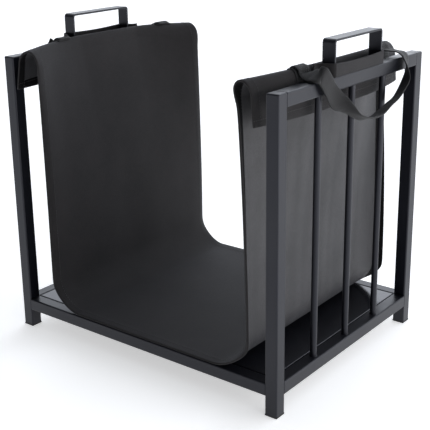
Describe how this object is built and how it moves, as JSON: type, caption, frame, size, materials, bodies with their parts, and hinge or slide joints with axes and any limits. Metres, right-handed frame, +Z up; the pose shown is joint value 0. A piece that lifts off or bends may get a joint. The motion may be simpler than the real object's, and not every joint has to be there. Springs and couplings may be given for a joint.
{
  "type": "firewood log rack",
  "caption": "Steel-framed firewood rack with a tray and a lift-out cloth log sling with carrying straps.",
  "frame": {"origin": "centre of the footprint on the floor, under the middle of the rack", "axes": "+Z up; +X towards the right side rail, across the width of the sling; -Y is the open front, so logs lie along Y"},
  "size_m": [0.5768, 0.4, 0.512],
  "materials": {
    "frame_steel": "satin black powder coat",
    "tray_steel": "satin black powder coat on sheet",
    "foot_plastic": "matte black polyethylene",
    "sling_cloth": "stiff charcoal cloth",
    "webbing": "dark grey woven webbing"
  },
  "bodies": {
    "frame": {"post_front_left": "frame_steel", "post_front_right": "frame_steel", "post_back_left": "frame_steel", "post_back_right": "frame_steel", "base_rail_front": "frame_steel", "base_rail_back": "frame_steel", "base_rail_left": "frame_steel", "base_rail_right": "frame_steel", "top_rail_left": "frame_steel", "top_rail_right": "frame_steel", "side_bar_left_1": "frame_steel", "side_bar_left_2": "frame_steel", "side_bar_left_3": "frame_steel", "side_bar_right_1": "frame_steel", "side_bar_right_2": "frame_steel", "side_bar_right_3": "frame_steel", "handle_left": "frame_steel", "handle_right": "frame_steel", "tray": "tray_steel", "foot_plug_front_left": "foot_plastic", "foot_plug_front_right": "foot_plastic", "foot_plug_back_left": "foot_plastic", "foot_plug_back_right": "foot_plastic"},
    "sling": {"sling_cloth": "sling_cloth", "slot_band_left": "sling_cloth", "slot_band_right": "sling_cloth", "strap_patch_front_left": "webbing", "strap_patch_front_right": "webbing", "strap_patch_back_left": "webbing", "strap_patch_back_right": "webbing"},
    "strap_left": {"carry_strap_left": "webbing"},
    "strap_right": {"carry_strap_right": "webbing"}
  },
  "joints": [
    {"name": "sling_lift", "type": "slide", "parent": "frame", "child": "sling", "axis": [0, 0, 1], "range_m": [0, 0.5]},
    {"name": "strap_left_swing", "type": "hinge", "parent": "sling", "child": "strap_left", "pos_m": [-0.2373, 0, 0.475], "axis": [0, 1, 0], "range_deg": [0, 120]},
    {"name": "strap_right_swing", "type": "hinge", "parent": "sling", "child": "strap_right", "pos_m": [0.2373, 0, 0.475], "axis": [0, -1, 0], "range_deg": [0, 120]}
  ]
}
